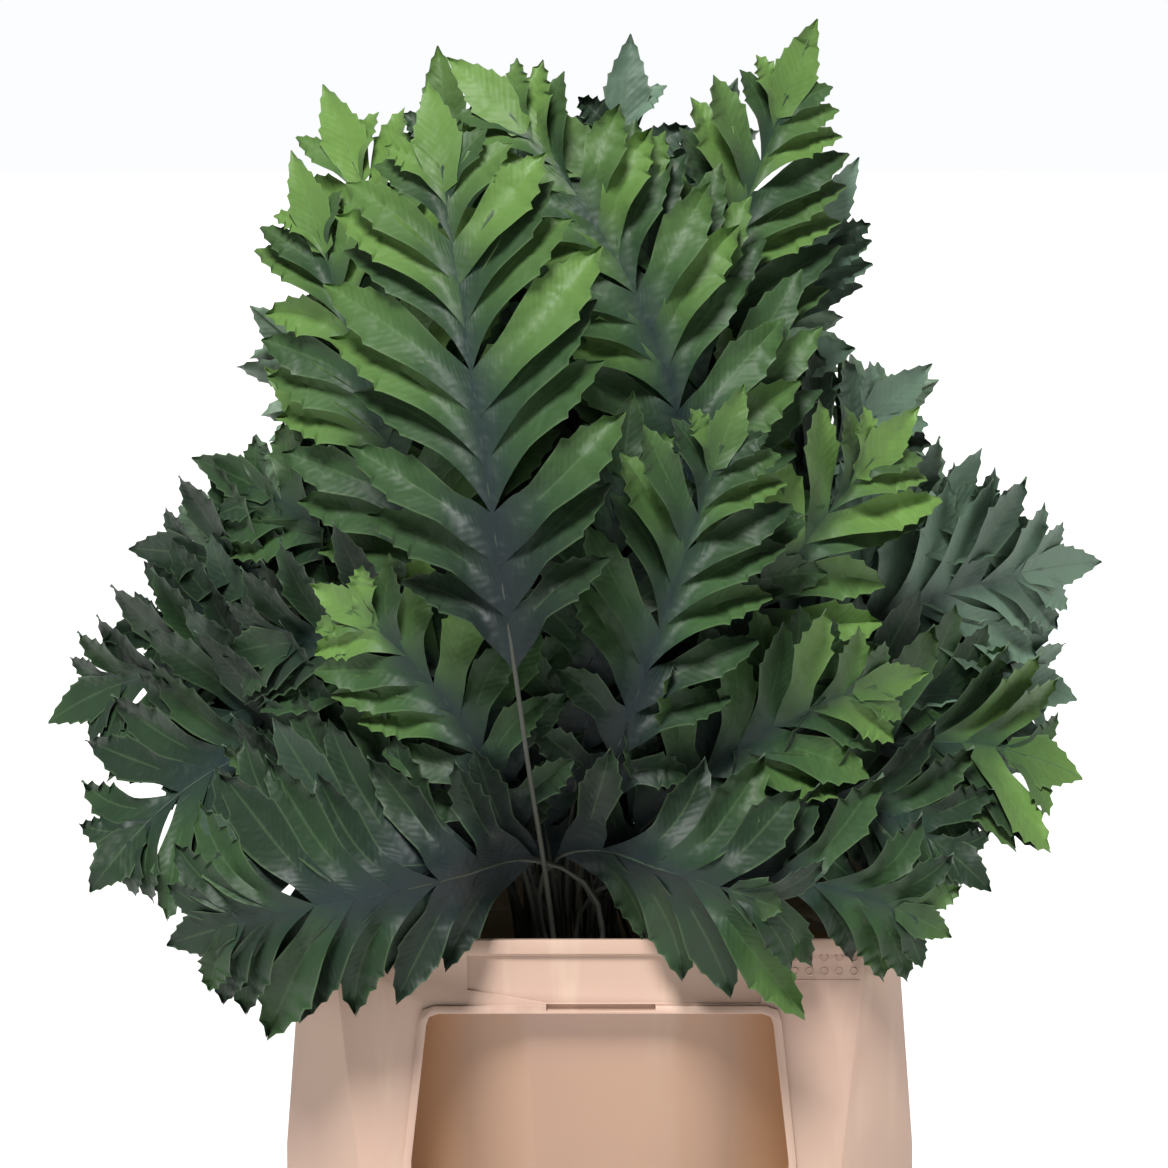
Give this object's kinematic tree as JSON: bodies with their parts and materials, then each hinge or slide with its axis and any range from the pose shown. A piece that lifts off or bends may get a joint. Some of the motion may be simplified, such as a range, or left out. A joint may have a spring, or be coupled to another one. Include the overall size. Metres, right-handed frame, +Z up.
{
  "type": "cut blue star fern fronds in a flower bucket",
  "caption": "Dense fan of cut, deeply lobed blue-green fern fronds standing in water in a tall rectangular plastic flower bucket.",
  "frame": {"origin": "middle of the bucket's flat base", "axes": "+Z up, -Y towards the front, where the hero frond and the fronds that hang over the rim face; +X to the viewer's right"},
  "size_m": [0.578, 0.4092, 0.752],
  "materials": {
    "bucket_plastic": "soft satin moulded plastic",
    "water": "clear still water",
    "frond": "matt leathery leaf with a waxy blue bloom along the rib"
  },
  "bodies": {
    "root": {"bucket": "bucket_plastic", "water": "water", "frond_01": "frond", "frond_02": "frond", "frond_03": "frond", "frond_04": "frond", "frond_05": "frond", "frond_06": "frond", "frond_07": "frond", "frond_08": "frond", "frond_09": "frond", "frond_10": "frond", "frond_11": "frond", "frond_12": "frond", "frond_13": "frond", "frond_14": "frond", "frond_15": "frond", "frond_16": "frond", "frond_17": "frond", "frond_18": "frond", "frond_19": "frond", "frond_20": "frond", "frond_21": "frond", "frond_22": "frond", "frond_23": "frond", "frond_24": "frond", "frond_25": "frond", "frond_26": "frond", "frond_27": "frond", "frond_28": "frond", "frond_29": "frond", "frond_30": "frond", "frond_31": "frond", "frond_32": "frond", "frond_33": "frond", "frond_34": "frond", "frond_35": "frond", "frond_36": "frond", "frond_37": "frond", "frond_38": "frond", "frond_39": "frond", "frond_40": "frond", "frond_41": "frond", "frond_42": "frond", "frond_43": "frond", "frond_44": "frond", "frond_45": "frond", "frond_46": "frond", "frond_47": "frond", "frond_48": "frond", "frond_49": "frond", "frond_50": "frond", "frond_51": "frond", "frond_52": "frond", "frond_53": "frond", "frond_54": "frond"}
  },
  "joints": []
}
